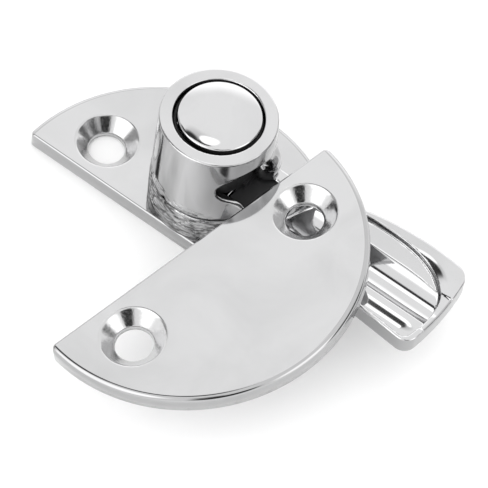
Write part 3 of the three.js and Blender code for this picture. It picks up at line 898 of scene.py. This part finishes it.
class Sky:
    """The world's brightness by direction, and short ways to add nodes to it."""

    def __init__(self):
        world = bpy.data.worlds.new("studio")
        bpy.context.scene.world = world
        world.use_nodes = True
        self.tree = world.node_tree
        self.background = self.tree.nodes["Background"]
        self.background.inputs["Color"].default_value = (1, 1, 1, 1)
        self.direction = self.tree.nodes.new("ShaderNodeTexCoord").outputs["Generated"]

    def node(self, kind, links, **settings):
        """A new node's outputs, with values or other nodes' outputs on its sockets."""
        node = self.tree.nodes.new(kind)
        for key, value in settings.items():
            setattr(node, key, value)
        for socket, value in links.items():
            if isinstance(value, bpy.types.NodeSocket):
                self.tree.links.new(value, node.inputs[socket])
            else:
                node.inputs[socket].default_value = value
        return node.outputs

    def towards(self, x, y, z):
        """How closely a ray points in a direction, from -1 to 1."""
        links = {0: self.direction, 1: Vector((x, y, z)).normalized()}
        return self.node("ShaderNodeVectorMath", links, operation="DOT_PRODUCT")["Value"]

    def patch(self, aim, inner, outer):
        """1 within inner degrees of a direction, fading to 0 at outer degrees."""
        links = {
            "Value": self.towards(*aim),
            "From Min": math.cos(math.radians(outer)),
            "From Max": math.cos(math.radians(inner)),
        }
        return self.node("ShaderNodeMapRange", links, interpolation_type="SMOOTHSTEP")["Result"]

    def blend(self, factor, a, b):
        """a where factor is 0 and b where it is 1."""
        links = {"Factor": factor, "A": a, "B": b}
        return self.node("ShaderNodeMix", links, data_type="FLOAT")["Result"]

    def level(self, low, high, below, above):
        """A brightness that changes with height, from below at low to above at high."""
        height = self.towards(0, 0, 1)
        links = {"Value": height, "From Min": low, "From Max": high, "To Min": below, "To Max": above}
        return self.node("ShaderNodeMapRange", links, interpolation_type="SMOOTHSTEP")["Result"]


# Soft patches of the studio: azimuth, elevation, inner and outer radius in degrees, brightness.
STUDIO_PATCHES = [
    (120, 8, 20, 38, 1.9),
    (-112, 36, 20, 30, 2.4),
    (5, 25, 14, 22, 2.2),
    (-160, 24, 14, 24, 0.45),
    (36, 11, 12, 22, 0.2),
    (155, 70, 4, 12, 0.9),
    (188, 57, 7, 11, 0.05),
    (168, 67, 4, 8, 0.05),
    (160, 76, 3.5, 6.5, 0.06),
    (-43, 33, 13, 19, 0.04),
    (-58, 54, 4, 8, 0.05),
    (134, 72, 4.5, 6, 2.0),
]


def direction(azimuth, elevation):
    """A unit vector, from angles in degrees."""
    turn, lift = math.radians(azimuth), math.radians(elevation)
    return (math.cos(turn) * math.cos(lift), math.sin(turn) * math.cos(lift), math.sin(lift))


def studio_sky():
    """Lays the patches over a tent that is brightest at its foot. Later patches cover earlier ones."""
    sky = Sky()
    light = sky.level(0.0, 0.3, 1.5, 1.28)
    for azimuth, elevation, inner, outer, brightness in STUDIO_PATCHES:
        light = sky.blend(sky.patch(direction(azimuth, elevation), inner, outer), light, brightness)
    sky.tree.links.new(light, sky.background.inputs["Strength"])


# ---------------------------------------------------------------- assembly

camera()
floor()
studio_sky()
bpy.context.scene.view_settings.view_transform = "Standard"

finishes = {
    "polished_chrome": chrome(),
    "plain_steel": plain_steel(),
    "bearing_bronze": bearing_bronze(),
    "black_nylon": black_nylon(),
    "black_rubber": black_rubber(),
}
for row in frame["record"]["subparts"]:
    cad_piece = frame["nodes"][row["node"]]
    cad_piece.data.materials.clear()
    cad_piece.data.materials.append(finishes[row["material_slot"]])

shine = finishes["polished_chrome"]
# The outer-edge finish is a darker copy of the chrome: painted shade on the plates' edge faces.
plate_finish = [shine, turned_chrome(), chrome("edge_chrome_painted_shade", painted_brightness=0.76), satin_back()]
# The casting's chrome carries painted shade on its sides.
cast_shine = chrome("cast_chrome_painted_shade", shade_sides=True)
stud_recess = (-PLATE_CENTRE.x, -PLATE_CENTRE.y, STUD_HEAD_RADIUS, STUD_HEAD_DEPTH)
base_place = Matrix.Translation(PLATE_CENTRE)
base_disc = half_disc("base_disc", base_place, plate_finish, "base", ["base_plate"], [stud_recess])
keeper_disc = half_disc("keeper_disc", keeper_place(), plate_finish, "keeper", ["keeper_plate"])
pieces = {
    base_disc: "polished_chrome",
    keeper_disc: "polished_chrome",
    arm_casting(cast_shine): "polished_chrome",
    pedestal(cast_shine): "polished_chrome",
    button_cap(shine): "polished_chrome",
    seal(finishes["black_rubber"]): "black_rubber",
    coil_spring(finishes["plain_steel"]): "plain_steel",
}
